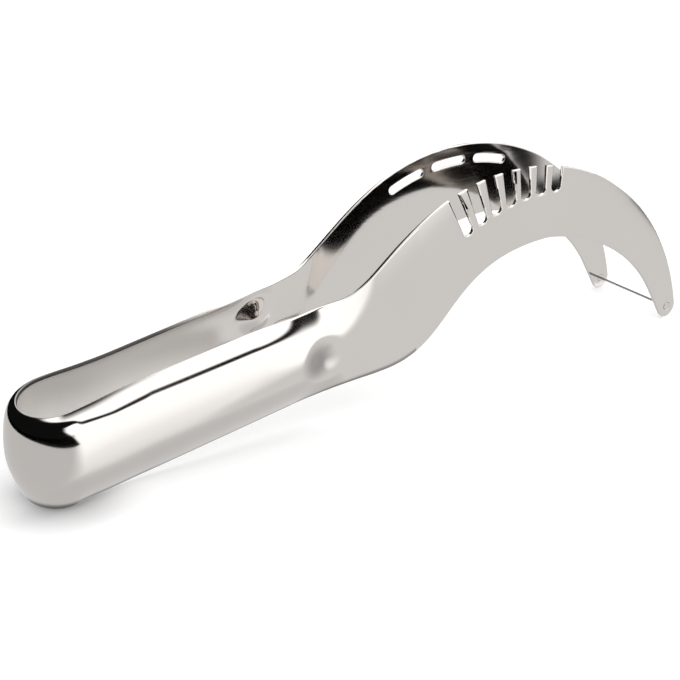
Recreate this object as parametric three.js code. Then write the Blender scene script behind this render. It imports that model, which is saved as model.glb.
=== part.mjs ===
import * as THREE from 'three';

// Watermelon slicer: a pressed steel strip bent into a bow, two handle arms and two crescent blades,
// with a thin cutting bar riveted between the tips. Millimetres, +Z up, +X from the bow to the tips.
// The right arm is at -Y and the left arm at +Y; the object rests on the bow's lower rim and the tips.

// Strip and fits
const overallLength = 210.6;
const stripThickness = 1.0;
const clearance = 0.3;

// Ends of the tool: the blade is measured back from the tip and the handle forward from the bow
const tip = { radius: 3.4, frontAngle: 0.22, insideAngle: -2.55 };
const bowDepth = 12.2;
const tipX = overallLength / 2 - tip.radius;
const bowCentreX = bowDepth + stripThickness / 2 - overallLength / 2;
const fromTip = (distance) => tipX - distance;

// Distances back from the middle of the tip
const back = {
  neckFlex: 109.5,
  combFirst: 85.6,
  longSlots: [82.5, 66.3, 49.9],
  archTop: 64.3,
  combCentre: 53.6,
  archUnder: 52.1,
  hookInside: 8.2,
  hookPull: 4.5,
};
const neckFlexX = fromTip(back.neckFlex);
const behindNeck = (distance) => neckFlexX - distance;

// Distances behind the flex line of the neck, and ahead of it
const behind = {
  lipFadeStart: 37.4,
  neckStart: 25,
  lowerFadeStart: 23.8,
  lipFadeEnd: 22.4,
  leftDimple: 22,
  leanFadeStart: 19.4,
  rightDimple: 16.6,
  flareStart: 11,
  leanFadeEnd: 1,
};
const ahead = { lowerFadeEnd: 0.2, heel: 2 };

// Distances forward from the middle of the bow
const forward = { bowFlex: 11, lowerRim: 11.2 };

// Plan of the strip, measured at the middle of the sheet
const armHalfWidth = 12.5;        // from the middle plane at x = 0
const armToeOut = 0.0145;         // outward drift per mm toward the tips
const handleBulge = 1.2;          // how far the curled handle stands outside the blade's plane
const bowHalfWidth = 13.7;
const bulbLength = 19;            // length over which the bow narrows into the arms

// Rims of the handle
const rimSlope = 0.13;
const upperRimAtBow = 24.83;
const lowerRimSlope = 0.139;
const lowerRimStartX = bowCentreX + forward.lowerRim;
const lowerRimBlend = 5.9;        // how softly the lower rim lifts off the rest plane

// Section of the handle: the upper lip curls in, tightest at the bow, and opens into a plain lean;
// the lower half leans in to a cut edge. Both fade into the flat blade. Tilts in degrees.
const lip = { tilt: 70, tiltAtBow: 90, power: 4, powerAtBow: 7, evenShare: 0.2, settle: 10 };
const leanTilt = 21.5;
const lowerLean = { tilt: 39, tiltAtRear: 23, settle: 4 };
const lipFade = { startX: behindNeck(behind.lipFadeStart), endX: behindNeck(behind.lipFadeEnd) };
const leanFade = { startX: behindNeck(behind.leanFadeStart), endX: behindNeck(behind.leanFadeEnd) };
const lowerFade = { startX: behindNeck(behind.lowerFadeStart), endX: neckFlexX + ahead.lowerFadeEnd };

// Thumb dimples, pressed in from outside
const dimple = { radius: 7.1, depth: 2.2, middlePower: 1.7, rimPower: 1.8 };
const rightDimple = { x: behindNeck(behind.rightDimple), z: 20.2 };
const leftDimple = { x: behindNeck(behind.leftDimple), z: 24.6 };

// Crescent outline
const flareStartX = behindNeck(behind.flareStart);
const flarePull = 10.5;
const archTop = { x: fromTip(back.archTop), z: 58.8 };
const archTopPull = { back: 33.3, front: 30.9 };
const hookPull = { x: fromTip(back.hookPull), z: 37.6 };
const neckStartX = behindNeck(behind.neckStart);
const neckPull = { start: 9, end: 14.6 };
const heel = { x: neckFlexX + ahead.heel, z: 11.8, slope: 0.05, pull: 24.3 };
const archUnder = { x: fromTip(back.archUnder), z: 36.8 };
const archUnderPull = { back: 36.1, front: 3.4 };
const hookInside = { x: fromTip(back.hookInside), z: 10.5, pullX: 13.8, pullZ: 22.4 };

// Comb of the right blade
const comb = { count: 7, firstX: fromTip(back.combFirst), pitch: 6.05, floorRadius: 57.6, width: 3.3 };
const combCentre = { x: fromTip(back.combCentre), z: -7.6 };

// Long slots of the left blade
const longSlot = { centres: back.longSlots.map(fromTip), halfLength: 5.2, width: 2.3, edgeDistance: 4.4 };

// Where the strip flexes
const bowFlexX = bowCentreX + forward.bowFlex;

// Cutting bar
const barRadius = 0.4;
const rivetRadius = 1.1;

// Mesh density
const bowSteps = 40;
const armSteps = 46;
const sectionSteps = 20;
const sumSteps = 40;
const edgeSteps = 28;
const tipSteps = 12;
const neckSteps = 2;
const slotSteps = 6;
const slotEndSteps = 5;
const holeSteps = 8;
const barSides = 16;
const rivetSides = 20;

const steel = () => new THREE.MeshStandardMaterial({ color: 0xc9c6c2, roughness: 0.18, metalness: 1 });
const barSteel = () => new THREE.MeshStandardMaterial({ color: 0xa8a6a3, roughness: 0.3, metalness: 1 });

const point = (x, z) => new THREE.Vector2(x, z);
const upperRimLine = (x) => upperRimAtBow + rimSlope * (x - bowCentreX);
const radians = THREE.MathUtils.degToRad;
const restHeight = (stripThickness / 2) * Math.sin(radians(lowerLean.tiltAtRear));

// Lower rim of the handle: level at the bow, then a straight rise
function lowerRimLine(x) {
  const past = x - lowerRimStartX;
  return restHeight + (lowerRimSlope / 2) * (past + Math.hypot(past, lowerRimBlend));
}

const topNeck = new THREE.CubicBezierCurve(
  point(flareStartX, upperRimLine(flareStartX)),
  point(flareStartX + flarePull, upperRimLine(flareStartX + flarePull)),
  point(archTop.x - archTopPull.back, archTop.z),
  point(archTop.x, archTop.z),
);
const tipPoint = (angle) => point(tipX + tip.radius * Math.cos(angle), tip.radius * (1 + Math.sin(angle)));
const topHook = new THREE.CubicBezierCurve(
  point(archTop.x, archTop.z),
  point(archTop.x + archTopPull.front, archTop.z),
  point(hookPull.x, hookPull.z),
  tipPoint(tip.frontAngle),
);
const underNeck = new THREE.CubicBezierCurve(
  point(neckStartX, lowerRimLine(neckStartX)),
  point(neckStartX + neckPull.start, lowerRimLine(neckStartX + neckPull.start)),
  point(heel.x - neckPull.end, heel.z - heel.slope * neckPull.end),
  point(heel.x, heel.z),
);
const underArch = new THREE.CubicBezierCurve(
  point(heel.x, heel.z),
  point(heel.x + heel.pull, heel.z + heel.slope * heel.pull),
  point(archUnder.x - archUnderPull.back, archUnder.z),
  point(archUnder.x, archUnder.z),
);
const underHook = new THREE.CubicBezierCurve(
  point(archUnder.x, archUnder.z),
  point(archUnder.x + archUnderPull.front, archUnder.z),
  point(hookInside.x - hookInside.pullX, hookInside.z + hookInside.pullZ),
  point(hookInside.x, hookInside.z),
);

// Parameter at which a curve that runs forward in x reaches a given x
function parameterAt(curve, x) {
  let low = 0;
  let high = 1;
  for (let i = 0; i < sumSteps; i += 1) {
    const mid = (low + high) / 2;
    if (curve.getPoint(mid).x < x) low = mid;
    else high = mid;
  }
  return (low + high) / 2;
}

const heightAt = (curve, x) => curve.getPoint(parameterAt(curve, x)).y;

const upperRim = (x) => (x < flareStartX ? upperRimLine(x) : heightAt(topNeck, x));
const lowerRim = (x) => (x < neckStartX ? lowerRimLine(x) : heightAt(underNeck, x));
const curl = (x, fade) => 1 - THREE.MathUtils.smoothstep(x, fade.startX, fade.endX);
const bladePlane = (x) => armHalfWidth + armToeOut * x;

// Share of the arm's own form at x, a given length forward of the bow
const settled = (x, length) => THREE.MathUtils.smoothstep(x, bowCentreX, bowCentreX + length);

function armPlan(x) {
  const arm = bladePlane(x) + handleBulge * curl(x, lowerFade);
  return THREE.MathUtils.lerp(bowHalfWidth, arm, settled(x, bulbLength));
}

// Rise and inward lean of a half section, from its middle to a share of its length
function sectionSum({ curlTilt, curlPower, lean }, share) {
  let rise = 0;
  let drift = 0;
  for (let i = 0; i < sumSteps; i += 1) {
    const at = (share * (i + 0.5)) / sumSteps;
    const curled = THREE.MathUtils.lerp(at ** curlPower, at, lip.evenShare);
    const tilt = radians(curlTilt * curled + lean * at * (2 - at));
    rise += (Math.cos(tilt) * share) / sumSteps;
    drift += (Math.sin(tilt) * share) / sumSteps;
  }
  return { rise, drift };
}

// Tilts of the upper and lower half sections at x
function upperForm(x) {
  const onArm = settled(x, lip.settle);
  const closed = curl(x, lipFade);
  return {
    curlTilt: closed * THREE.MathUtils.lerp(lip.tiltAtBow, lip.tilt, onArm),
    curlPower: THREE.MathUtils.lerp(lip.powerAtBow, lip.power, onArm),
    lean: leanTilt * (1 - closed) * curl(x, leanFade),
  };
}

function lowerForm(x) {
  const fromRear = THREE.MathUtils.smoothstep(x, bowCentreX - bowDepth, bowCentreX + lowerLean.settle);
  const lean = THREE.MathUtils.lerp(lowerLean.tiltAtRear, lowerLean.tilt, fromRear);
  return { curlTilt: 0, curlPower: 1, lean: lean * curl(x, lowerFade) };
}

// Lean and height of the section at x, across from -1 at the lower rim to 1 at the upper rim
function sectionAt(x, across) {
  const half = (upperRim(x) - lowerRim(x)) / 2;
  const form = across > 0 ? upperForm(x) : lowerForm(x);
  const here = sectionSum(form, Math.abs(across));
  const scale = half / sectionSum(form, 1).rise;
  return { lean: here.drift * scale, z: lowerRim(x) + half + Math.sign(across) * here.rise * scale };
}

// How far the sheet is pressed in at a point of the arm
function dimplePress(centre, x, z) {
  const distance = Math.hypot(x - centre.x, z - centre.z) / dimple.radius;
  if (distance > 1) return 0;
  return dimple.depth * (1 - distance ** dimple.middlePower) ** dimple.rimPower;
}

// Middle of the sheet along an arm, on the right side, with its dimple
const armSurface = (dimpleCentre) => (along, across) => {
  const x = THREE.MathUtils.lerp(bowFlexX + clearance / 2, neckFlexX - clearance / 2, along);
  const { lean, z } = sectionAt(x, across);
  return new THREE.Vector3(x, -armPlan(x) + lean + dimplePress(dimpleCentre, x, z), z);
};

// Plan line of the bow with its inward direction, from the left flex line round the rear to the right one
function bowPlan(turn) {
  const straight = bowFlexX - clearance / 2 - bowCentreX;
  const bend = (Math.PI / 2) * Math.sqrt((bowDepth ** 2 + bowHalfWidth ** 2) / 2);
  const run = Math.abs(turn) * (bend + straight);
  const side = Math.sign(turn);
  if (run > bend) {
    const x = bowCentreX + run - bend;
    return { x, y: -side * armPlan(x), side };
  }
  const angle = ((Math.PI / 2) * run) / bend;
  return { x: bowCentreX - bowDepth * Math.cos(angle), y: -side * bowHalfWidth * Math.sin(angle), side };
}

function bowSurface(along, across) {
  const turn = 2 * along - 1;
  const delta = 1e-4;
  const here = bowPlan(turn);
  const before = bowPlan(turn - delta);
  const after = bowPlan(turn + delta);
  const run = new THREE.Vector2(after.x - before.x, after.y - before.y).normalize();
  const { lean, z } = sectionAt(here.x, across);
  return new THREE.Vector3(here.x - run.y * lean, here.y + run.x * lean, z);
}

// Closed sheet of even thickness about a middle surface that faces out with along x across
function sheetGeometry(surface, alongSteps, acrossSteps, mirrored) {
  const positions = [];
  const delta = 1e-4;
  const sides = [1, -1];
  for (const side of sides) {
    for (let i = 0; i <= alongSteps; i += 1) {
      for (let j = 0; j <= acrossSteps; j += 1) {
        const u = i / alongSteps;
        const v = (2 * j) / acrossSteps - 1;
        const middle = surface(u, v);
        const uStep = u < 0.5 ? delta : -delta;
        const vStep = v < 0 ? delta : -delta;
        const du = surface(u + uStep, v).sub(middle).divideScalar(uStep);
        const dv = surface(u, v + vStep).sub(middle).divideScalar(vStep);
        const normal = du.cross(dv).normalize();
        middle.addScaledVector(normal, (side * stripThickness) / 2);
        positions.push(middle.x, mirrored ? -middle.y : middle.y, middle.z);
      }
    }
  }
  const row = acrossSteps + 1;
  const layer = row * (alongSteps + 1);
  const triangles = [];
  const quad = (a, b, c, d) => {
    if (mirrored) triangles.push(a, c, b, a, d, c);
    else triangles.push(a, b, c, a, c, d);
  };
  for (let i = 0; i < alongSteps; i += 1) {
    for (let j = 0; j < acrossSteps; j += 1) {
      const a = i * row + j;
      quad(a, a + row, a + row + 1, a + 1);
      quad(layer + a, layer + a + 1, layer + a + row + 1, layer + a + row);
    }
  }
  for (let i = 0; i < alongSteps; i += 1) {
    const low = i * row;
    const high = low + acrossSteps;
    quad(low, layer + low, layer + low + row, low + row);
    quad(high, high + row, layer + high + row, layer + high);
  }
  for (let j = 0; j < acrossSteps; j += 1) {
    const last = alongSteps * row + j;
    quad(j, j + 1, layer + j + 1, layer + j);
    quad(last, layer + last, layer + last + 1, last + 1);
  }
  const geometry = new THREE.BufferGeometry();
  geometry.setAttribute('position', new THREE.Float32BufferAttribute(positions, 3));
  geometry.setIndex(triangles);
  geometry.computeVertexNormals();
  return geometry;
}

function curvePoints(curve, from, to, steps) {
  const points = [];
  for (let i = 0; i <= steps; i += 1) points.push(curve.getPoint(from + ((to - from) * i) / steps));
  return points;
}

const bladeStartX = neckFlexX + clearance / 2;

function topEdgePoints() {
  const neck = curvePoints(topNeck, parameterAt(topNeck, bladeStartX), 1, edgeSteps);
  const hook = curvePoints(topHook, 0, 1, edgeSteps);
  return [...neck, ...hook.slice(1)];
}

function restOfOutline() {
  const arc = new THREE.EllipseCurve(
    tipX, tip.radius, tip.radius, tip.radius, tip.frontAngle, tip.insideAngle, true,
  );
  const neck = curvePoints(underNeck, parameterAt(underNeck, bladeStartX), 1, neckSteps);
  const under = [...neck, ...curvePoints(underArch, 0, 1, edgeSteps).slice(1)];
  const lower = [...under, ...curvePoints(underHook, 0, 1, edgeSteps).slice(1)];
  return [...arc.getPoints(tipSteps).slice(1), ...lower.reverse()];
}

// Top edge with the comb: each slot runs in toward the comb's centre and ends in a half round
function combEdgePoints() {
  const edge = topEdgePoints();
  const centre = point(combCentre.x, combCentre.z);
  const points = [];
  let at = 0;
  const half = comb.width / 2;
  for (let i = 0; i < comb.count; i += 1) {
    const x = comb.firstX + comb.pitch * i;
    const mouth = point(x, heightAt(x < archTop.x ? topNeck : topHook, x));
    const out = mouth.sub(centre).normalize();
    const across = point(out.y, -out.x);
    const offset = (p) => p.clone().sub(centre).dot(across);
    const crossing = (wall) => {
      while (offset(edge[at + 1]) < wall) at += 1;
      const share = (wall - offset(edge[at])) / (offset(edge[at + 1]) - offset(edge[at]));
      return edge[at].clone().lerp(edge[at + 1], share);
    };
    const start = points.length === 0 ? 0 : at + 1;
    const left = crossing(-half);
    points.push(...edge.slice(start, at + 1), left);
    const floor = centre.clone().addScaledVector(out, comb.floorRadius + half);
    for (let k = 0; k <= slotSteps; k += 1) {
      const sweep = (Math.PI * k) / slotSteps;
      const side = -half * Math.cos(sweep);
      points.push(floor.clone().addScaledVector(across, side).addScaledVector(out, -half * Math.sin(sweep)));
    }
    points.push(crossing(half));
  }
  return [...points, ...edge.slice(at + 1)];
}

// Closed slot that follows the top edge of the left blade
function longSlotPath(centreX) {
  const half = longSlot.width / 2;
  const upper = [];
  const lower = [];
  const normalAt = (x) => {
    const curve = x < archTop.x ? topNeck : topHook;
    const at = parameterAt(curve, x);
    const tangent = curve.getTangent(at);
    return { edge: curve.getPoint(at), inward: point(tangent.y, -tangent.x), tangent };
  };
  const startX = centreX - longSlot.halfLength;
  const endX = centreX + longSlot.halfLength;
  for (let i = 0; i <= slotSteps; i += 1) {
    const x = THREE.MathUtils.lerp(startX, endX, i / slotSteps);
    const { edge, inward } = normalAt(x);
    upper.push(edge.clone().addScaledVector(inward, longSlot.edgeDistance - half));
    lower.unshift(edge.clone().addScaledVector(inward, longSlot.edgeDistance + half));
  }
  const roundEnd = (x, side) => {
    const { edge, inward, tangent } = normalAt(x);
    const middle = edge.clone().addScaledVector(inward, longSlot.edgeDistance);
    const points = [];
    for (let k = 1; k < slotEndSteps; k += 1) {
      const sweep = (Math.PI * k) / slotEndSteps;
      const out = side * half * Math.sin(sweep);
      const down = -side * half * Math.cos(sweep);
      points.push(middle.clone().addScaledVector(tangent, out).addScaledVector(inward, down));
    }
    return points;
  };
  const right = roundEnd(endX, 1);
  const left = roundEnd(startX, -1);
  return new THREE.Path([...upper, ...right, ...lower, ...left].reverse());
}

// Flat blade in the plane of its arm
function bladeGeometry(topPoints, holes, side) {
  const shape = new THREE.Shape([...topPoints, ...restOfOutline()]);
  const rivetHole = new THREE.Path();
  rivetHole.absarc(tipX, tip.radius, rivetRadius + clearance, 0, 2 * Math.PI);
  shape.holes.push(rivetHole, ...holes);
  const form = { depth: stripThickness, bevelEnabled: false, curveSegments: holeSteps };
  const geometry = new THREE.ExtrudeGeometry(shape, form);
  geometry.translate(0, 0, -stripThickness / 2);
  geometry.rotateX(Math.PI / 2);
  const position = geometry.getAttribute('position');
  for (let i = 0; i < position.count; i += 1) {
    position.setY(i, position.getY(i) + side * bladePlane(position.getX(i)));
  }
  geometry.computeVertexNormals();
  return geometry;
}

function rodGeometry(radius, length, y, segments) {
  const geometry = new THREE.CylinderGeometry(radius, radius, length, segments);
  geometry.translate(tipX, y, tip.radius);
  return geometry;
}

const group = new THREE.Group();
group.name = 'watermelon_slicer';

function addPiece(name, geometry, material) {
  const mesh = new THREE.Mesh(geometry, material);
  mesh.name = name;
  group.add(mesh);
}

const tipPlane = bladePlane(tipX);
const barLength = 2 * (tipPlane - stripThickness / 2 - clearance);

addPiece('handle_bow', sheetGeometry(bowSurface, bowSteps, sectionSteps, false), steel());
addPiece('right_handle_arm', sheetGeometry(armSurface(rightDimple), armSteps, sectionSteps, false), steel());
addPiece('left_handle_arm', sheetGeometry(armSurface(leftDimple), armSteps, sectionSteps, true), steel());
addPiece('right_blade', bladeGeometry(combEdgePoints(), [], -1), steel());
addPiece('left_blade', bladeGeometry(topEdgePoints(), longSlot.centres.map(longSlotPath), 1), steel());
addPiece('cutting_bar', rodGeometry(barRadius, barLength, 0, barSides), barSteel());
addPiece('right_bar_rivet', rodGeometry(rivetRadius, stripThickness, -tipPlane, rivetSides), steel());
addPiece('left_bar_rivet', rodGeometry(rivetRadius, stripThickness, tipPlane, rivetSides), steel());

export default group;
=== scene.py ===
import math

import bpy
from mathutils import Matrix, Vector


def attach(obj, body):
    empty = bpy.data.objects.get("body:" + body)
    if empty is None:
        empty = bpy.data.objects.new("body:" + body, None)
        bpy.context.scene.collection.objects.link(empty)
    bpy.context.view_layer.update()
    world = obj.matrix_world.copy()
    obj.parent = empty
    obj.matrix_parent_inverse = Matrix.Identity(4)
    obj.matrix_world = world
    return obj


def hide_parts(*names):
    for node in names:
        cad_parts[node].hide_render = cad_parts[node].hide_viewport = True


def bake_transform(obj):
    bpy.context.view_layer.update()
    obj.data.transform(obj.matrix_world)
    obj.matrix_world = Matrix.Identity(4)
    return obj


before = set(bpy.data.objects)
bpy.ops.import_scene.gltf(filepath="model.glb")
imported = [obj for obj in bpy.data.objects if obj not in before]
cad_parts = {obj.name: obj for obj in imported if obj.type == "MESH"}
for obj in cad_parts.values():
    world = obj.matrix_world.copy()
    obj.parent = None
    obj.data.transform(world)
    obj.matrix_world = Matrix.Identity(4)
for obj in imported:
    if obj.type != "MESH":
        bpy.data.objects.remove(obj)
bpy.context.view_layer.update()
mm = 0.001

# Strip of steel, in millimetres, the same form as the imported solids
strip = {
    "thickness": 1.0, "edgeRound": 0.27, "halfWidth": 12.5, "toeOut": 0.0145, "bulge": 1.2,
    "bowX": -92.6, "bowDepth": 12.2, "bowHalf": 13.7, "bulbLength": 19.0, "lipSettle": 10.0,
    "rimSlope": 0.13, "upperAtBow": 24.83, "lowerSlope": 0.139, "lowerStart": -81.4, "lowerBlend": 5.9,
    "lipTilt": math.radians(70), "lipTiltBow": math.radians(90), "lipPower": 4, "lipPowerBow": 7,
    "evenUpper": 0.2, "lowerLean": math.radians(39), "lowerLeanRear": math.radians(23), "leanSettle": 4.0,
    "lipFade": (-45.0, -30.0), "leanFade": (-27.0, -8.6), "leanTilt": math.radians(21.5),
    "lowerFade": (-31.4, -7.4), "sectionFineness": 6, "slopeStep": 0.01,
    "dimpleRight": (-24.2, 20.2), "dimpleLeft": (-29.6, 24.6),
    "dimpleRadius": 7.1, "dimpleDepth": 2.2, "dimpleTip": 1.7, "dimpleRim": 1.8,
    # painted shade in the near dimple: where it sits and how far it reaches
    "dimpleShadeShift": (-2.2, -0.4), "dimpleShadeRadius": 6.4, "dimpleShadeSoft": (0.25, 1.0),
    # painted shade along the cut edges: its strength, width, fade and start
    "lowRimShade": (0.8, 0.66), "lowRimShadeWidth": (2.0, 1.1), "highRimShade": (1.0, 0.0), "highRimShadeWidth": (1.4, 0.5),
    "rimShadeFade": (-90.0, -60.0), "rimShadeStart": (-98.5, -95.5), "rimShadeSoft": (0.4, 1.2),
    # dull: a rougher inner face; pale: painted light, paler further below the upper rim and away from the
    # bow's rear
    "dullFade": (-58.0, -31.0), "dullFacing": (0.1, 0.4), "lowInnerLightDepth": (2.0, 15.0),
    "lowInnerLightFrom": (-103.0, -88.0),
    # painted shade along the far arm's upper edge
    "farRimShade": 0.9, "farRimShadeWidth": 0.42, "farRimShadeFade": (-62.0, -38.0), "farRimShadeSide": (-3.0, 1.0),
    "farRimShadeFrom": 20.0, "farRimShadeFacing": (-0.3, 0.1),
    "alongStep": 0.7, "acrossCount": 46, "endX": 12.0,
}


# Mesh work: angles in degrees, distances in metres
mesh = {"smoothAngle": 40, "bevelAngle": 60, "bevelSegments": 3, "normalWeight": 50, "sortDigits": 5,
        "cutTolerance": 1e-7, "mergeTolerance": 1e-6, "halvings": 44}


def smooth(x, low, high):
    t = min(1.0, max(0.0, (x - low) / (high - low)))
    return t * t * (3 - 2 * t)


def lerp(a, b, t):
    return a + (b - a) * t


def bezierPoint(p, t):
    s = 1 - t
    weights = (s ** 3, 3 * t * s * s, 3 * t * t * s, t ** 3)
    return tuple(sum(w * q[i] for w, q in zip(weights, p)) for i in (0, 1))


def bezierAt(p, x):
    low, high = 0.0, 1.0
    for _ in range(mesh["halvings"]):
        mid = (low + high) / 2
        if bezierPoint(p, mid)[0] < x:
            low = mid
        else:
            high = mid
    return (low + high) / 2


# the lower rim rests on its leaning cut edge
restHeight = strip["thickness"] / 2 * math.sin(strip["lowerLeanRear"])


def upperLine(x):
    return strip["upperAtBow"] + strip["rimSlope"] * (x - strip["bowX"])


def lowerLine(x):
    past = x - strip["lowerStart"]
    return restHeight + strip["lowerSlope"] / 2 * (past + math.hypot(past, strip["lowerBlend"]))


# Crescent outline of the blades, in millimetres
blade = {
    "flareX": -18.6, "flarePull": 10.5, "archTop": (37.6, 58.8), "archBack": 33.3, "archFront": 30.9,
    "hookPull": (97.4, 37.6), "neckX": -32.6, "neckPulls": (9.0, 14.6),
    "heel": (-5.6, 11.8), "heelSlope": 0.05, "heelPull": 24.3,
    "archUnder": (49.8, 36.8), "underBack": 36.1, "underFront": 3.4,
    "hookInside": (93.7, 10.5), "insidePull": (13.8, 22.4),
    "tipX": 101.9, "tipRadius": 3.4, "tipFront": 0.22, "tipInside": -2.55,
    "combCount": 7, "combFirst": 16.3, "combPitch": 6.05, "combCentre": (48.3, -7.6),
    "combFloor": 57.6, "combWidth": 3.3,
    "slotCentres": (19.4, 35.6, 52.0), "slotHalf": 5.2, "slotWidth": 2.3, "slotDepth": 4.4,
    "seamX": 5.0, "overlap": 1.0, "rivetHole": 1.16, "slopeStep": 1e-4, "bevelSteps": 2,
    "edgeSteps": 90, "tipSteps": 32, "combSteps": 16, "slotSteps": 24, "slotEndSteps": 10, "holeSteps": 40,
}


def bladeCurves():
    b = blade
    flare = b["flareX"] + b["flarePull"]
    tip = tipPoint(b["tipFront"])
    start, end = b["neckPulls"]
    heelX, heelZ = b["heel"]
    topX, topZ = b["archTop"]
    underX, underZ = b["archUnder"]
    insideX, insideZ = b["hookInside"]
    return {
        "topNeck": ((b["flareX"], upperLine(b["flareX"])), (flare, upperLine(flare)),
                    (topX - b["archBack"], topZ), (topX, topZ)),
        "topHook": ((topX, topZ), (topX + b["archFront"], topZ), b["hookPull"], tip),
        "underNeck": ((b["neckX"], lowerLine(b["neckX"])),
                      (b["neckX"] + start, lowerLine(b["neckX"] + start)),
                      (heelX - end, heelZ - b["heelSlope"] * end), (heelX, heelZ)),
        "underArch": ((heelX, heelZ), (heelX + b["heelPull"], heelZ + b["heelSlope"] * b["heelPull"]),
                      (underX - b["underBack"], underZ), (underX, underZ)),
        "underHook": ((underX, underZ), (underX + b["underFront"], underZ),
                      (insideX - b["insidePull"][0], insideZ + b["insidePull"][1]), (insideX, insideZ)),
    }


def tipPoint(angle):
    r = blade["tipRadius"]
    return (blade["tipX"] + r * math.cos(angle), r * (1 + math.sin(angle)))


curves = bladeCurves()


def heightOn(name, x):
    return bezierPoint(curves[name], bezierAt(curves[name], x))[1]


def upperRim(x):
    if x < blade["flareX"]:
        return upperLine(x)
    return heightOn("topNeck" if x < blade["archTop"][0] else "topHook", x)


def lowerRim(x):
    if x < blade["neckX"]:
        return lowerLine(x)
    return heightOn("underNeck" if x < blade["heel"][0] else "underArch", x)


def bladePlane(x):
    return strip["halfWidth"] + strip["toeOut"] * x


def settled(x, length):
    return smooth(x, strip["bowX"], strip["bowX"] + length)


def armPlan(x):
    arm = bladePlane(x) + strip["bulge"] * (1 - smooth(x, *strip["lowerFade"]))
    return lerp(strip["bowHalf"], arm, settled(x, strip["bulbLength"]))


def sectionSums(lip, power, even, lean, count):
    # rise and lean of half a section at even steps from its middle to its rim
    sums = [(0.0, 0.0)]
    fine = strip["sectionFineness"]
    rise = drift = 0.0
    for i in range(count * fine):
        at = (i + 0.5) / (count * fine)
        tilt = lip * (even * at + (1 - even) * at ** power) + lean * at * (2 - at)
        rise += math.cos(tilt)
        drift += math.sin(tilt)
        if i % fine == fine - 1:
            sums.append((rise, drift))
    return [(a / rise, b / rise) for a, b in sums]


def sectionPoints(x):
    # lean and height across the strip, from the lower rim to the upper rim
    half = (upperRim(x) - lowerRim(x)) / 2
    middle = lowerRim(x) + half
    count = strip["acrossCount"] // 2
    opened = smooth(x, *strip["lipFade"])
    lean = opened * (1 - smooth(x, *strip["leanFade"])) * strip["leanTilt"]
    onArm = settled(x, strip["lipSettle"])
    lip = (1 - opened) * lerp(strip["lipTiltBow"], strip["lipTilt"], onArm)
    power = lerp(strip["lipPowerBow"], strip["lipPower"], onArm)
    upper = sectionSums(lip, power, strip["evenUpper"], lean, count)
    fromRear = smooth(x, strip["bowX"] - strip["bowDepth"], strip["bowX"] + strip["leanSettle"])
    lean = (1 - smooth(x, *strip["lowerFade"])) * lerp(strip["lowerLeanRear"], strip["lowerLean"], fromRear)
    lower = sectionSums(0.0, 1, 0.0, lean, count)
    points = [(side * half, middle - rise * half) for rise, side in reversed(lower)]
    return points + [(side * half, middle + rise * half) for rise, side in upper[1:]]


def dimplePress(x, y, z):
    centreX, centreZ = strip["dimpleLeft" if y > 0 else "dimpleRight"]
    r = math.hypot(x - centreX, z - centreZ) / strip["dimpleRadius"]
    return strip["dimpleDepth"] * (1 - r ** strip["dimpleTip"]) ** strip["dimpleRim"] if r < 1 else 0.0


def planStations():
    # plan points of the strip with their inward directions, from the left end round the bow to the right end
    step = strip["alongStep"]
    straight = strip["endX"] - strip["bowX"]
    armCount = round(straight / step)
    bendCount = round(math.pi / 2 * (strip["bowDepth"] + strip["bowHalf"]) / 2 / step)
    half = []
    for i in range(bendCount):
        angle = math.pi / 2 * i / bendCount
        x = strip["bowX"] - strip["bowDepth"] * math.cos(angle)
        y = -strip["bowHalf"] * math.sin(angle)
        inward = Vector((math.cos(angle) / strip["bowDepth"], math.sin(angle) / strip["bowHalf"]))
        half.append((x, y, inward.normalized()))
    for i in range(armCount + 1):
        x = strip["bowX"] + straight * i / armCount
        delta = strip["slopeStep"]
        slope = (armPlan(x + delta) - armPlan(x - delta)) / (2 * delta) if i else 0.0
        half.append((x, -armPlan(x), Vector((slope, 1)).normalized()))
    mirrored = [(x, -y, Vector((n.x, -n.y))) for x, y, n in reversed(half[1:])]
    return mirrored + half


def deselectAll():
    if bpy.context.object and bpy.context.object.mode != "OBJECT":
        bpy.ops.object.mode_set(mode="OBJECT")
    bpy.ops.object.select_all(action="DESELECT")


def makeActive(obj):
    deselectAll()
    obj.select_set(True)
    bpy.context.view_layer.objects.active = obj


def applyModifier(obj, name, kind, **settings):
    makeActive(obj)
    modifier = obj.modifiers.new(name, kind)
    for key, value in settings.items():
        setattr(modifier, key, value)
    bpy.ops.object.modifier_apply(modifier=name)


def markInside(obj):
    # duller share of the inner face, and painted light that pales its lower part, kept as point values; the
    # far outer face gets no painted edge shade
    for name in ("inside", "lowInnerLight"):
        obj.data.attributes.new(name, "FLOAT", "POINT")
    inside, lowInnerLight, edge = (obj.data.attributes[name].data for name in ("inside", "lowInnerLight", "edge"))
    for i, v in enumerate(obj.data.vertices):
        inward = Vector((mm * strip["bowX"] - v.co.x, -v.co.y, 0))
        inward.x = max(0.0, inward.x)
        facing = v.normal.dot(inward.normalized())
        turned = smooth(facing, *strip["dullFacing"])
        x, z = v.co.x / mm, v.co.z / mm
        inside[i].value = turned * (1 - smooth(x, *strip["dullFade"]))
        low = smooth(upperLine(x) - z, *strip["lowInnerLightDepth"])
        lowInnerLight[i].value = inside[i].value * low * smooth(x, *strip["lowInnerLightFrom"])
        if v.co.y > 0 and v.co.z > mm * strip["farRimShadeFrom"]:
            edge[i].value *= smooth(facing, *strip["farRimShadeFacing"])


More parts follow.
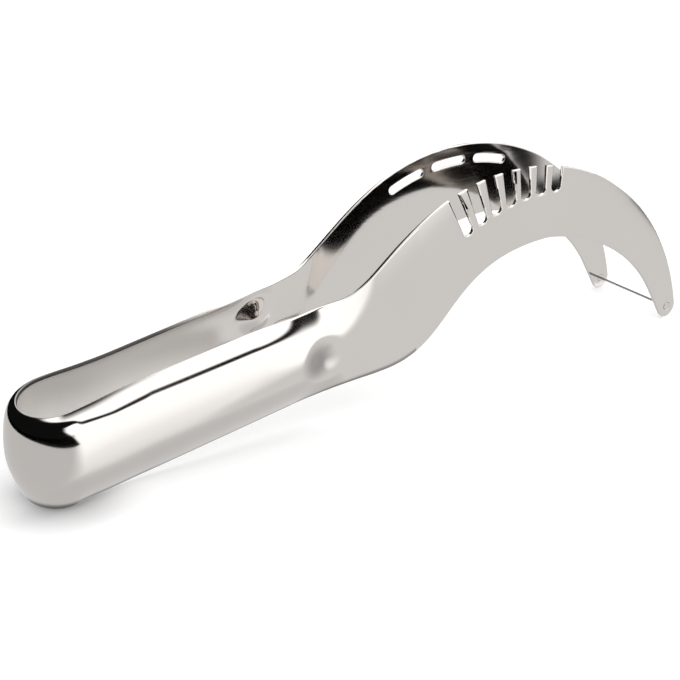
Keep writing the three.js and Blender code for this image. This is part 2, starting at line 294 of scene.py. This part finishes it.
def markDimpleShade(obj):
    # painted shade in the near dimple, a darker tone standing in for its dark reflection, kept as a point
    # value
    dimpleShade = obj.data.attributes.new("dimpleShade", "FLOAT", "POINT")
    shiftX, shiftZ = strip["dimpleShadeShift"]
    centreX, centreZ = strip["dimpleRight"]
    for i, v in enumerate(obj.data.vertices):
        offset = (v.co.x / mm - centreX - shiftX, v.co.z / mm - centreZ - shiftZ)
        r = math.hypot(*offset) / strip["dimpleShadeRadius"]
        dimpleShade.data[i].value = 1 - smooth(r, *strip["dimpleShadeSoft"]) if v.co.y < 0 else 0.0


def smoothFaces(obj):
    # flat faces keep their own normals and only the rounded edges turn
    makeActive(obj)
    bpy.ops.object.shade_smooth_by_angle(angle=math.radians(mesh["smoothAngle"]))
    applyModifier(obj, "polish", "WEIGHTED_NORMAL", mode="FACE_AREA", weight=mesh["normalWeight"],
                  keep_sharp=True)


def roundEdges(obj, radius):
    applyModifier(obj, "edge", "BEVEL", width=mm * radius, segments=mesh["bevelSegments"],
                  limit_method="ANGLE", angle_limit=math.radians(mesh["bevelAngle"]))


def markRimShade(sheet, stations, order, across):
    # painted shade: the faces darken towards the cut edges, most of all round the bow, standing in for dark
    # reflections of shaded gaps
    edge = sheet.data.attributes.new("edge", "FLOAT", "POINT")
    for i, (x, y, inward) in enumerate(stations):
        onArm = smooth(x, *strip["rimShadeFade"])
        far = smooth(y, *strip["farRimShadeSide"])
        farShare = far * strip["farRimShade"] * (1 - smooth(x, *strip["farRimShadeFade"]))
        begun = {"lowRimShade": 1.0, "highRimShade": smooth(x, *strip["rimShadeStart"]) * (1 - far)}
        rowStep = (upperRim(x) - lowerRim(x)) / across
        for j in range(across + 1):
            shares = [farShare * (1 - smooth((across - j) * rowStep, 0.0, strip["farRimShadeWidth"]))]
            for name, steps in (("lowRimShade", j), ("highRimShade", across - j)):
                width = lerp(*strip[name + "Width"], onArm)
                share = begun[name] * lerp(*strip[name], onArm)
                near, end = (width * part for part in strip["rimShadeSoft"])
                shares.append(share * (1 - smooth(steps * rowStep, near, end)))
            edge.data[order[i * (across + 1) + j].index].value = max(shares)


def makeStrip():
    # a flat grid is laid along the plan, given its section, then thickened and its edges rounded
    stations = planStations()
    across = 2 * (strip["acrossCount"] // 2)
    deselectAll()
    bpy.ops.mesh.primitive_grid_add(x_subdivisions=len(stations) - 1, y_subdivisions=across, size=1)
    sheet = bpy.context.object
    sheet.name = "wholeStrip"
    digits = mesh["sortDigits"]
    order = sorted(sheet.data.vertices, key=lambda v: (round(v.co.x, digits), round(v.co.y, digits)))
    row = across + 1
    for i, (x, y, inward) in enumerate(stations):
        for j, (lean, z) in enumerate(sectionPoints(x)):
            push = lean + dimplePress(x, y, z)
            order[i * row + j].co = (mm * (x + inward.x * push), mm * (y + inward.y * push), mm * z)
    markRimShade(sheet, stations, order, across)
    makeActive(sheet)
    bpy.ops.object.mode_set(mode="EDIT")
    bpy.ops.mesh.select_all(action="SELECT")
    bpy.ops.mesh.normals_make_consistent(inside=False)
    bpy.ops.object.mode_set(mode="OBJECT")
    applyModifier(sheet, "gauge", "SOLIDIFY", thickness=mm * strip["thickness"], offset=0,
                  use_even_offset=True)
    roundEdges(sheet, strip["edgeRound"])
    smoothFaces(sheet)
    markDimpleShade(sheet)
    markInside(sheet)
    print("strip", len(sheet.data.polygons), "faces")
    return sheet


def cutPiece(whole, name, cuts):
    # a copy cut off at planes, each a point, the direction to clear and whether the cut is closed
    makeActive(whole)
    bpy.ops.object.duplicate()
    piece = bpy.context.object
    piece.name = name
    bpy.ops.object.mode_set(mode="EDIT")
    for point, normal, fill in cuts:
        bpy.ops.mesh.select_all(action="SELECT")
        bpy.ops.mesh.bisect(plane_co=point, plane_no=normal, use_fill=fill, clear_outer=True,
                            threshold=mesh["cutTolerance"])
    bpy.ops.object.mode_set(mode="OBJECT")
    applyModifier(piece, "polish", "DATA_TRANSFER", object=whole, use_loop_data=True,
                  data_types_loops={"CUSTOM_NORMAL"}, loop_mapping="POLYINTERP_NEAREST")
    return piece


def curvePoints(name, start, steps):
    return [bezierPoint(curves[name], start + (1 - start) * i / steps) for i in range(steps + 1)]


def topEdge(fromX):
    neck = curvePoints("topNeck", bezierAt(curves["topNeck"], fromX), blade["edgeSteps"])
    return neck + curvePoints("topHook", 0.0, blade["edgeSteps"])[1:]


def underEdge(fromX):
    # from the tip back to the neck
    arc = []
    for i in range(1, blade["tipSteps"] + 1):
        arc.append(tipPoint(lerp(blade["tipFront"], blade["tipInside"], i / blade["tipSteps"])))
    neck = curvePoints("underArch", bezierAt(curves["underArch"], fromX), blade["edgeSteps"])
    lower = neck + curvePoints("underHook", 0.0, blade["edgeSteps"])[1:]
    return arc + lower[::-1]


def combEdge(fromX):
    edge = [Vector(p) for p in topEdge(fromX)]
    centre = Vector(blade["combCentre"])
    half = blade["combWidth"] / 2
    points, at = [], 0
    for i in range(blade["combCount"]):
        x = blade["combFirst"] + blade["combPitch"] * i
        out = (Vector((x, upperRim(x))) - centre).normalized()
        side = Vector((out.y, -out.x))
        start = at + 1 if points else 0
        walls = []
        for wall in (-half, half):
            while (edge[at + 1] - centre).dot(side) < wall:
                at += 1
            a, b = ((edge[k] - centre).dot(side) for k in (at, at + 1))
            walls.append((at, edge[at].lerp(edge[at + 1], (wall - a) / (b - a))))
        points += edge[start:walls[0][0] + 1] + [walls[0][1]]
        floor = centre + out * (blade["combFloor"] + half)
        for k in range(blade["combSteps"] + 1):
            sweep = math.pi * k / blade["combSteps"]
            points.append(floor - side * half * math.cos(sweep) - out * half * math.sin(sweep))
        points.append(walls[1][1])
    return [tuple(p) for p in points + edge[at + 1:]]


def slotOutline(centreX):
    half = blade["slotWidth"] / 2
    rows = {-half: [], half: []}
    ends = []
    delta = blade["slopeStep"]
    steps, endSteps = blade["slotSteps"], blade["slotEndSteps"]
    for i in range(steps + 1):
        x = centreX + blade["slotHalf"] * (2 * i / steps - 1)
        name = "topNeck" if x < blade["archTop"][0] else "topHook"
        t = bezierAt(curves[name], x)
        p, q = (Vector(bezierPoint(curves[name], t + shift)) for shift in (-delta, delta))
        along = (q - p).normalized()
        inward = Vector((along.y, -along.x))
        middle = Vector(bezierPoint(curves[name], t)) + inward * blade["slotDepth"]
        rows[-half].append(middle - inward * half)
        rows[half].append(middle + inward * half)
        ends.append((middle, along, inward))
    rounds = []
    for (middle, along, inward), side in ((ends[-1], 1), (ends[0], -1)):
        sweepPoints = []
        for k in range(1, endSteps):
            sweep = math.pi * k / endSteps
            out, down = (side * half * turn for turn in (math.sin(sweep), math.cos(sweep)))
            sweepPoints.append(middle + along * out - inward * down)
        rounds.append(sweepPoints)
    return [tuple(p) for p in rows[-half] + rounds[0] + rows[half][::-1] + rounds[1]]


def makeBlade(name, outline, holes, side):
    # drawn as a flat curve with its holes, extruded to the gauge with rounded edges, then stood in its plane
    deselectAll()
    bpy.ops.curve.primitive_bezier_curve_add()
    drawing = bpy.context.object
    drawing.name = name
    data = drawing.data
    data.dimensions = "2D"
    data.fill_mode = "BOTH"
    data.splines.clear()
    rivet = []
    for i in range(blade["holeSteps"]):
        angle = 2 * math.pi * i / blade["holeSteps"]
        rivet.append((blade["tipX"] + blade["rivetHole"] * math.cos(angle),
                      blade["tipRadius"] + blade["rivetHole"] * math.sin(angle)))
    for loop in [outline, rivet] + holes:
        spline = data.splines.new("POLY")
        spline.points.add(len(loop) - 1)
        for point, (x, z) in zip(spline.points, loop):
            point.co = (mm * x, mm * z, 0, 1)
        spline.use_cyclic_u = True
    data.extrude = mm * (strip["thickness"] / 2 - strip["edgeRound"])
    data.bevel_depth = mm * strip["edgeRound"]
    data.bevel_resolution = blade["bevelSteps"]
    data.offset = -mm * strip["edgeRound"]
    makeActive(drawing)
    bpy.ops.object.convert(target="MESH")
    plate = bpy.context.object
    for v in plate.data.vertices:
        x, z, depth = v.co
        v.co = (x, side * mm * bladePlane(x / mm) - depth, z)
    bpy.ops.object.mode_set(mode="EDIT")
    bpy.ops.mesh.select_all(action="SELECT")
    bpy.ops.mesh.remove_doubles(threshold=mesh["mergeTolerance"])
    bpy.ops.mesh.normals_make_consistent(inside=False)
    bpy.ops.object.mode_set(mode="OBJECT")
    smoothFaces(plate)
    print(name, len(plate.data.polygons), "faces")
    return plate


# Cutting bar and its peened ends, in millimetres
bar = {"radius": 0.4, "edgeRound": 0.03, "rivetRadius": 1.1, "rivetDome": 0.08, "rivetRound": 0.12,
       "segments": 48, "endGap": 0.05}


def makeRod(name, radius, length, y, edgeRadius):
    deselectAll()
    bpy.ops.mesh.primitive_cylinder_add(vertices=bar["segments"], radius=mm * radius, depth=mm * length)
    rod = bpy.context.object
    rod.name = name
    bpy.ops.object.mode_set(mode="EDIT")
    bpy.ops.mesh.select_all(action="SELECT")
    bpy.ops.transform.rotate(value=math.pi / 2, orient_axis="X", center_override=(0, 0, 0))
    bpy.ops.transform.translate(value=(mm * blade["tipX"], mm * y, mm * blade["tipRadius"]))
    bpy.ops.object.mode_set(mode="OBJECT")
    roundEdges(rod, edgeRadius)
    smoothFaces(rod)
    return rod


# Node helpers
def newNode(tree, kind, **settings):
    node = tree.nodes.new(kind)
    for key, value in settings.items():
        setattr(node, key, value)
    return node


def link(tree, source, target):
    tree.links.new(source, target)


# Steel: scales per metre, colours and roughness; the last rows are shared by both steels
steel = {
    "strip": {"light": (0.665, 0.636, 0.61), "dark": (0.635, 0.606, 0.58), "roughness": 0.05,
              "lineAmount": 0.02, "smudgeAmount": 0.03, "bump": 0.25},
    "bar": {"light": (0.5, 0.49, 0.48), "dark": (0.42, 0.41, 0.4), "roughness": 0.2,
            "lineAmount": 0.08, "smudgeAmount": 0.05, "bump": 0.4},
    "lineScale": 900.0, "lineDetail": 3.0, "lineStretch": (0.03, 1.0, 1.0),
    "smudgeScale": 38.0, "smudgeDetail": 4.0, "bumpHeight": 2e-6,
    # the first colour below paints shade in the near dimple, the second light on the lower inside, the third
    # shade at cut edges
    "dimpleShadeColour": (0.5, 0.5, 0.5), "lowInnerLightColour": (0.95, 0.93, 0.91), "rimShadeColour": (0.03, 0.029, 0.028),
    "insideRoughness": 0.45,
}


def polishGroup():
    # fine polishing lines that run along the strip, with broad soft patches
    group = bpy.data.node_groups.new("polishMarks", "ShaderNodeTree")
    face = group.interface
    face.new_socket("Vector", in_out="INPUT", socket_type="NodeSocketVector")
    for name in ("Base Roughness", "Line Amount", "Smudge Amount"):
        face.new_socket(name, in_out="INPUT", socket_type="NodeSocketFloat")
    for name in ("Roughness", "Height", "Shade"):
        face.new_socket(name, in_out="OUTPUT", socket_type="NodeSocketFloat")
    start = newNode(group, "NodeGroupInput")
    end = newNode(group, "NodeGroupOutput")
    stretch = newNode(group, "ShaderNodeVectorMath", operation="MULTIPLY")
    stretch.inputs[1].default_value = steel["lineStretch"]
    link(group, start.outputs["Vector"], stretch.inputs[0])
    lines = newNode(group, "ShaderNodeTexNoise")
    lines.inputs["Scale"].default_value = steel["lineScale"]
    lines.inputs["Detail"].default_value = steel["lineDetail"]
    link(group, stretch.outputs[0], lines.inputs["Vector"])
    smudge = newNode(group, "ShaderNodeTexNoise")
    smudge.inputs["Scale"].default_value = steel["smudgeScale"]
    smudge.inputs["Detail"].default_value = steel["smudgeDetail"]
    link(group, start.outputs["Vector"], smudge.inputs["Vector"])
    lineShare = newNode(group, "ShaderNodeMath", operation="MULTIPLY_ADD")
    link(group, lines.outputs["Fac"], lineShare.inputs[0])
    link(group, start.outputs["Line Amount"], lineShare.inputs[1])
    link(group, start.outputs["Base Roughness"], lineShare.inputs[2])
    smudgeShare = newNode(group, "ShaderNodeMath", operation="MULTIPLY_ADD")
    link(group, smudge.outputs["Fac"], smudgeShare.inputs[0])
    link(group, start.outputs["Smudge Amount"], smudgeShare.inputs[1])
    link(group, lineShare.outputs[0], smudgeShare.inputs[2])
    link(group, smudgeShare.outputs[0], end.inputs["Roughness"])
    link(group, lines.outputs["Fac"], end.inputs["Height"])
    link(group, smudge.outputs["Fac"], end.inputs["Shade"])
    return group


polish = polishGroup()


def steelMaterial(name, look):
    material = bpy.data.materials.new(name)
    material.use_nodes = True
    tree = material.node_tree
    shader = tree.nodes["Principled BSDF"]
    shader.inputs["Metallic"].default_value = 1.0
    place = newNode(tree, "ShaderNodeTexCoord")
    marks = newNode(tree, "ShaderNodeGroup", node_tree=polish)
    marks.inputs["Base Roughness"].default_value = look["roughness"]
    marks.inputs["Line Amount"].default_value = look["lineAmount"]
    marks.inputs["Smudge Amount"].default_value = look["smudgeAmount"]
    link(tree, place.outputs["Object"], marks.inputs["Vector"])
    # painted shade in the near dimple
    dimpleShade = newNode(tree, "ShaderNodeAttribute", attribute_name="dimpleShade")
    dimpleShadeMix = newNode(tree, "ShaderNodeMix", data_type="RGBA", blend_type="MULTIPLY")
    dimpleShadeMix.inputs["B"].default_value = (*steel["dimpleShadeColour"], 1)
    link(tree, dimpleShade.outputs["Fac"], dimpleShadeMix.inputs["Factor"])
    tint = newNode(tree, "ShaderNodeMix", data_type="RGBA")
    tint.inputs["A"].default_value = (*look["dark"], 1)
    tint.inputs["B"].default_value = (*look["light"], 1)
    link(tree, marks.outputs["Shade"], tint.inputs["Factor"])
    link(tree, tint.outputs["Result"], dimpleShadeMix.inputs["A"])
    # painted shade along the cut edges
    edge = newNode(tree, "ShaderNodeAttribute", attribute_name="edge")
    # painted light, paler towards the bottom of the inner face
    lowInnerLight = newNode(tree, "ShaderNodeAttribute", attribute_name="lowInnerLight")
    lowInnerLightMix = newNode(tree, "ShaderNodeMix", data_type="RGBA")
    lowInnerLightMix.inputs["B"].default_value = (*steel["lowInnerLightColour"], 1)
    link(tree, lowInnerLight.outputs["Fac"], lowInnerLightMix.inputs["Factor"])
    link(tree, dimpleShadeMix.outputs["Result"], lowInnerLightMix.inputs["A"])
    rimShade = newNode(tree, "ShaderNodeMix", data_type="RGBA", blend_type="MULTIPLY")
    rimShade.inputs["B"].default_value = (*steel["rimShadeColour"], 1)
    link(tree, edge.outputs["Fac"], rimShade.inputs["Factor"])
    link(tree, lowInnerLightMix.outputs["Result"], rimShade.inputs["A"])
    link(tree, rimShade.outputs["Result"], shader.inputs["Base Color"])
    inside = newNode(tree, "ShaderNodeAttribute", attribute_name="inside")
    dull = newNode(tree, "ShaderNodeMix", data_type="FLOAT")
    dull.inputs["B"].default_value = steel["insideRoughness"]
    link(tree, inside.outputs["Fac"], dull.inputs["Factor"])
    link(tree, marks.outputs["Roughness"], dull.inputs["A"])
    link(tree, dull.outputs["Result"], shader.inputs["Roughness"])
    relief = newNode(tree, "ShaderNodeBump")
    relief.inputs["Strength"].default_value = look["bump"]
    relief.inputs["Distance"].default_value = steel["bumpHeight"]
    link(tree, marks.outputs["Height"], relief.inputs["Height"])
    link(tree, relief.outputs["Normal"], shader.inputs["Normal"])
    return material


# Camera at the photo's angle: metres and radians, focal length in pixels of the 680 frame
cameraSet = {"turn": 0.6227, "raise": 0.4356, "distance": 0.37354, "aim": (-0.01061, 0.0, 0.0170),
             "focalPixels": 1400.0, "framePixels": 680.0, "sensor": 36.0, "clip": (0.01, 50)}


def makeCamera():
    c = cameraSet
    data = bpy.data.cameras.new("photoCamera")
    data.sensor_width = c["sensor"]
    data.lens = c["focalPixels"] / c["framePixels"] * c["sensor"]
    data.clip_start, data.clip_end = c["clip"]
    camera = bpy.data.objects.new("photoCamera", data)
    bpy.context.scene.collection.objects.link(camera)
    level = math.cos(c["raise"])
    back = Vector((-math.sin(c["turn"]) * level, -math.cos(c["turn"]) * level, math.sin(c["raise"])))
    camera.location = Vector(c["aim"]) + back * c["distance"]
    camera.rotation_mode = "QUATERNION"
    camera.rotation_quaternion = (-back).to_track_quat("-Z", "Y")
    bpy.context.scene.camera = camera


# Studio: a white table and two soft lights with a dark gap between them. Its edges were fitted so that the
# steel reflects light and dark where the photo does. Metres on the table, unit directions above it
studio = {
    "tableSize": 6.0, "tableColour": (0.62, 0.62, 0.62), "tableGlow": 0.5,
    "nookReach": 0.011, "nookPower": 1.6, "nookSamples": 4,
    "nookX": (-0.094, -0.074), "nookY": (-0.01, 0.0), "nookFar": 0.2,
    "bright": 1.8, "dim": 0.006,
    "overFoot": ((-1.0, 0.92), (-0.27, 0.85), (0.21, 0.525), (0.3, 0.4), (0.36, 0.365), (0.5, 0.3),
                 (1.0, 0.27)),
    "frontTop": ((-1.0, 0.4), (-0.29, 0.42), (-0.04, 0.47), (0.09, 0.45), (0.21, 0.37), (0.3, 0.24),
                 (0.36, 0.195), (0.5, 0.165), (1.0, 0.16)),
    "overSoft": 0.05, "frontTopSoft": 0.035, "overBack": (0.75, -0.4, 0.53), "backSoft": (-0.16, 0.1),
    "frontEdge": (0.977, -0.3, 0.08), "frontSoft": (-0.18, 0.08),
    "frontFoot": (0.563, -0.083, 0.823), "footSoft": (-0.04, 0.06),
    # from here on: painted light and shade on the table that only the steel's reflections see
    "sheen": ((0.0, 1.65), (0.25, 1.63), (0.34, 1.5), (0.43, 1.29), (0.66, 1.09), (0.84, 0.77), (1.0, 0.73)),
    "leftShadeCap": (-0.104, -0.066), "leftShade": 0.74,
    "boardCentre": (-0.11, 0.03), "boardHalf": (0.142, 0.118), "boardSoft": (0.97, 1.03),
    "endLine": (-0.0766, -0.09), "endNormal": (0.989, -0.146), "endSoft": (-0.006, 0.006),
    "shadeLine": (0.027, -0.074), "shadeNormal": (-0.56, -0.83), "shadeSoft": (-0.004, 0.024), "shade": 0.9,
    "backFromX": (0.049, 0.055), "backFromY": (0.033, 0.04),
    "sideLine": (0.1535, -0.064), "sideNormal": (0.867, 0.499), "sideSoft": (-0.0024, -0.0008),
    "sideNear": (-0.032, -0.024), "sideFar": (-0.16, -0.14),
    "tailLine": (0.18, -0.099), "tailNormal": (0.707, 0.707), "tailSoft": (0.0, 0.0085),
    "tailNear": (-0.08, -0.07), "shadeEnd": (0.004, 0.014),
}


def mathNode(tree, operation, a, b=None, c=None):
    node = newNode(tree, "ShaderNodeMath", operation=operation)
    for socket, value in zip(node.inputs, (a, b, c)):
        if value is None:
            continue
        if isinstance(value, (int, float)):
            socket.default_value = value
        else:
            link(tree, value, socket)
    return node.outputs[0]


def rampNode(tree, value, low, high, outLow, outHigh, kind="SMOOTHSTEP"):
    node = newNode(tree, "ShaderNodeMapRange", interpolation_type=kind)
    link(tree, value, node.inputs["Value"])
    for name, number in (("From Min", low), ("From Max", high), ("To Min", outLow), ("To Max", outHigh)):
        node.inputs[name].default_value = number
    return node.outputs["Result"]


def curveNode(tree, value, points):
    # a smooth curve through points, each a place and a height
    low, high, top = points[0][0], points[-1][0], max(y for x, y in points)
    node = newNode(tree, "ShaderNodeFloatCurve")
    curve = node.mapping.curves[0]
    spots = [((x - low) / (high - low), y / top) for x, y in points]
    curve.points[0].location, curve.points[1].location = spots[0], spots[-1]
    for spot in spots[1:-1]:
        curve.points.new(*spot)
    node.mapping.update()
    link(tree, rampNode(tree, value, low, high, 0.0, 1.0, "LINEAR"), node.inputs["Value"])
    return mathNode(tree, "MULTIPLY", node.outputs["Value"], top)


def beyondLine(tree, x, y, point, normal):
    # signed distance from a line on the table
    offset = -(point[0] * normal[0] + point[1] * normal[1])
    return mathNode(tree, "MULTIPLY_ADD", y, normal[1], mathNode(tree, "MULTIPLY_ADD", x, normal[0], offset))


def lightEdge(tree, direction, normal, soft):
    # one inside the straight edge of a light, nought beyond it
    facing = newNode(tree, "ShaderNodeVectorMath", operation="DOT_PRODUCT")
    link(tree, direction, facing.inputs[0])
    facing.inputs[1].default_value = normal
    return rampNode(tree, facing.outputs["Value"], *soft, 0.0, 1.0)


def makeWorld():
    world = bpy.data.worlds.new("studio")
    bpy.context.scene.world = world
    world.use_nodes = True
    tree = world.node_tree
    background = tree.nodes["Background"]
    place = newNode(tree, "ShaderNodeTexCoord")
    split = newNode(tree, "ShaderNodeSeparateXYZ")
    link(tree, place.outputs["Generated"], split.inputs[0])
    # each light has straight soft edges, and a curved one towards the dark gap, which rises to the left
    direction = place.outputs["Generated"]
    edges = (curveNode(tree, split.outputs["X"], studio[name]) for name in ("overFoot", "frontTop"))
    overLine, frontLine = (mathNode(tree, "SUBTRACT", split.outputs["Z"], edge) for edge in edges)
    overSoft, frontTopSoft = studio["overSoft"], studio["frontTopSoft"]
    overhead = mathNode(tree, "MULTIPLY", rampNode(tree, overLine, -overSoft, overSoft, 0.0, 1.0),
                        lightEdge(tree, direction, studio["overBack"], studio["backSoft"]))
    front = mathNode(tree, "MULTIPLY", lightEdge(tree, direction, studio["frontEdge"], studio["frontSoft"]),
                     rampNode(tree, frontLine, -frontTopSoft, frontTopSoft, 1.0, 0.0))
    foot = lightEdge(tree, direction, studio["frontFoot"], studio["footSoft"])
    front = mathNode(tree, "MULTIPLY", front, foot)
    lit = mathNode(tree, "MAXIMUM", overhead, front)
    dome = mathNode(tree, "MULTIPLY_ADD", lit, studio["bright"], studio["dim"])
    path = newNode(tree, "ShaderNodeLightPath")
    strength = newNode(tree, "ShaderNodeMix", data_type="FLOAT")
    link(tree, path.outputs["Is Camera Ray"], strength.inputs["Factor"])
    link(tree, dome, strength.inputs["A"])
    strength.inputs["B"].default_value = 1.0
    background.inputs["Color"].default_value = (1, 1, 1, 1)
    link(tree, strength.outputs["Result"], background.inputs["Strength"])


def makeTable():
    deselectAll()
    bpy.ops.mesh.primitive_plane_add(size=studio["tableSize"])
    table = bpy.context.object
    table.name = "table"
    material = bpy.data.materials.new("whiteTable")
    material.use_nodes = True
    tree = material.node_tree
    shader = tree.nodes["Principled BSDF"]
    shader.inputs["Roughness"].default_value = 1.0
    shader.inputs["Specular IOR Level"].default_value = 0.0
    shader.inputs["Emission Color"].default_value = (1, 1, 1, 1)
    place = newNode(tree, "ShaderNodeTexCoord")
    split = newNode(tree, "ShaderNodeSeparateXYZ")
    link(tree, place.outputs["Object"], split.inputs[0])
    # what the steel reflects of the table is painted: a glow only reflections see, a painted sheen that
    # grows towards a flat glance, painted shadow caps and painted dark parts
    facing = newNode(tree, "ShaderNodeLayerWeight")
    facing.inputs["Blend"].default_value = 0.5
    steep = mathNode(tree, "SUBTRACT", 1.0, facing.outputs["Facing"])
    top = studio["sheen"][0][1]
    paintedSheen = curveNode(tree, steep, studio["sheen"])
    x, y = split.outputs["X"], split.outputs["Y"]
    leftShadeCap = rampNode(tree, x, *studio["leftShadeCap"], studio["leftShade"], top)
    shadeCap = mathNode(tree, "MAXIMUM", rampNode(tree, y, *studio["shadeEnd"], 0.0, top),
                        rampNode(tree, beyondLine(tree, x, y, studio["shadeLine"], studio["shadeNormal"]),
                                 *studio["shadeSoft"], studio["shade"], top))
    for cap in (leftShadeCap, shadeCap):
        paintedSheen = mathNode(tree, "MINIMUM", paintedSheen, cap)
    boardX, boardY = (mathNode(tree, "DIVIDE", mathNode(tree, "SUBTRACT", value, centre), half)
                      for value, centre, half in zip((x, y), studio["boardCentre"], studio["boardHalf"]))
    boardX = mathNode(tree, "MINIMUM", boardX, 0.0)
    squareY = mathNode(tree, "MULTIPLY", boardY, boardY)
    outer = mathNode(tree, "SQRT", mathNode(tree, "MULTIPLY_ADD", boardX, boardX, squareY))
    tail = mathNode(tree, "MULTIPLY", rampNode(tree, y, *studio["tailNear"], 1.0, 0.0),
                    rampNode(tree, beyondLine(tree, x, y, studio["tailLine"], studio["tailNormal"]),
                             *studio["tailSoft"], 0.0, 1.0))
    beside = mathNode(tree, "MULTIPLY", mathNode(tree, "SUBTRACT", 1.0, tail),
                      rampNode(tree, beyondLine(tree, x, y, studio["sideLine"], studio["sideNormal"]),
                               *studio["sideSoft"], 0.0, 1.0))
    pastEnd = rampNode(tree, beyondLine(tree, x, y, studio["endLine"], studio["endNormal"]),
                       *studio["endSoft"], 1.0, 0.0)
    sideStretch = mathNode(tree, "MULTIPLY", rampNode(tree, y, *studio["sideNear"], 1.0, 0.0),
                           rampNode(tree, y, *studio["sideFar"], 0.0, 1.0))
    # painted dark patches in what the steel reflects
    darkParts = (
        (rampNode(tree, outer, *studio["boardSoft"], 0.0, 1.0), pastEnd),
        (rampNode(tree, x, *studio["backFromX"], 0.0, 1.0),
         rampNode(tree, y, *studio["backFromY"], 0.0, 1.0)),
        (beside, sideStretch),
    )
    paintedReflection = paintedSheen
    for first, second in darkParts:
        part = mathNode(tree, "MULTIPLY", first, second)
        paintedReflection = mathNode(tree, "MULTIPLY", paintedReflection, mathNode(tree, "SUBTRACT", 1.0, part))
    path = newNode(tree, "ShaderNodeLightPath")
    glow = newNode(tree, "ShaderNodeMix", data_type="FLOAT")
    link(tree, path.outputs["Is Glossy Ray"], glow.inputs["Factor"])
    # what the camera sees of it: an even white, with painted shade only where the bow stands, darkened by
    # ambient occlusion inside a placed patch
    nook = newNode(tree, "ShaderNodeAmbientOcclusion", samples=studio["nookSamples"])
    nook.inputs["Distance"].default_value = studio["nookReach"]
    shut = mathNode(tree, "SUBTRACT", 1.0, mathNode(tree, "POWER", nook.outputs["AO"], studio["nookPower"]))
    atBow = mathNode(tree, "MULTIPLY", rampNode(tree, x, *studio["nookX"], 1.0, 0.0),
                     rampNode(tree, y, *studio["nookY"], 1.0, studio["nookFar"]))
    clear = mathNode(tree, "SUBTRACT", 1.0, mathNode(tree, "MULTIPLY", shut, atBow))
    link(tree, mathNode(tree, "MULTIPLY", clear, studio["tableGlow"]), glow.inputs["A"])
    link(tree, paintedReflection, glow.inputs["B"])
    link(tree, glow.outputs["Result"], shader.inputs["Emission Strength"])
    colour = newNode(tree, "ShaderNodeMix", data_type="RGBA")
    link(tree, path.outputs["Is Glossy Ray"], colour.inputs["Factor"])
    colour.inputs["A"].default_value = (*studio["tableColour"], 1)
    colour.inputs["B"].default_value = (0, 0, 0, 1)
    link(tree, colour.outputs["Result"], shader.inputs["Base Color"])
    table.data.materials.append(material)


stripSteel = steelMaterial("polishedStrip", steel["strip"])
barSteel = steelMaterial("satinBar", steel["bar"])


def finishPiece(piece, material, nodes, body=None):
    piece.data.materials.clear()
    piece.data.materials.append(material)
    if body:
        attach(piece, body)
    else:
        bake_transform(piece)
    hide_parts(*nodes)


# Where the strip is parted into pieces, and where each piece bends, in millimetres
seams = {"bow": -89.5, "arm": -58.0, "bowBend": (-88.5, -74.7), "neckBend": (-14.6, -0.6)}


def buildStrip():
    whole = makeStrip()
    bowX, armX, endX = (mm * x for x in (seams["bow"], seams["arm"], blade["seamX"]))
    bow = cutPiece(whole, "bow", [((bowX, 0, 0), (1, 0, 0), True)])
    finishPiece(bow, stripSteel, ["handle_bow"], body="bow")
    for side, sign in (("right", -1), ("left", 1)):
        half = ((0, 0, 0), (0, -sign, 0), False)
        rear = cutPiece(whole, side + "ArmRear",
                        [half, ((bowX, 0, 0), (-1, 0, 0), True), ((armX, 0, 0), (1, 0, 0), True)])
        finishPiece(rear, stripSteel, [side + "_handle_arm"])
        front = cutPiece(whole, side + "ArmFront",
                         [half, ((armX, 0, 0), (-1, 0, 0), True), ((endX, 0, 0), (1, 0, 0), True)])
        finishPiece(front, stripSteel, [side + "_handle_arm"])
    bpy.data.objects.remove(whole)


def buildBlades():
    endX = mm * blade["seamX"]
    fromX = blade["heel"][0] + blade["overlap"]
    outlines = {"right": (combEdge(fromX) + underEdge(fromX), []),
                "left": (topEdge(fromX) + underEdge(fromX), [slotOutline(x) for x in blade["slotCentres"]])}
    for side, sign in (("right", -1), ("left", 1)):
        outline, holes = outlines[side]
        plate = makeBlade(side + "Plate", outline, holes, sign)
        piece = cutPiece(plate, side + "Blade", [((endX, 0, 0), (-1, 0, 0), True)])
        bpy.data.objects.remove(plate)
        finishPiece(piece, stripSteel, [side + "_blade"], body=side + "_side_blade")


def buildBar():
    plane = bladePlane(blade["tipX"])
    inner = plane - strip["thickness"] / 2
    rod = makeRod("cuttingBar", bar["radius"], 2 * (inner - bar["endGap"]), 0.0, bar["edgeRound"])
    finishPiece(rod, barSteel, ["cutting_bar"], body="bar")
    for side, sign in (("right", -1), ("left", 1)):
        length = strip["thickness"] + bar["rivetDome"] / 2
        rivet = makeRod(side + "Rivet", bar["rivetRadius"], length, sign * plane, bar["rivetRound"])
        finishPiece(rivet, stripSteel, [side + "_bar_rivet"], body=side + "_side_blade")


makeCamera()
makeWorld()
makeTable()
print("stage ready")
buildStrip()
buildBlades()
buildBar()
print("slicer ready")

bpy.context.scene.view_settings.view_transform = "Standard"
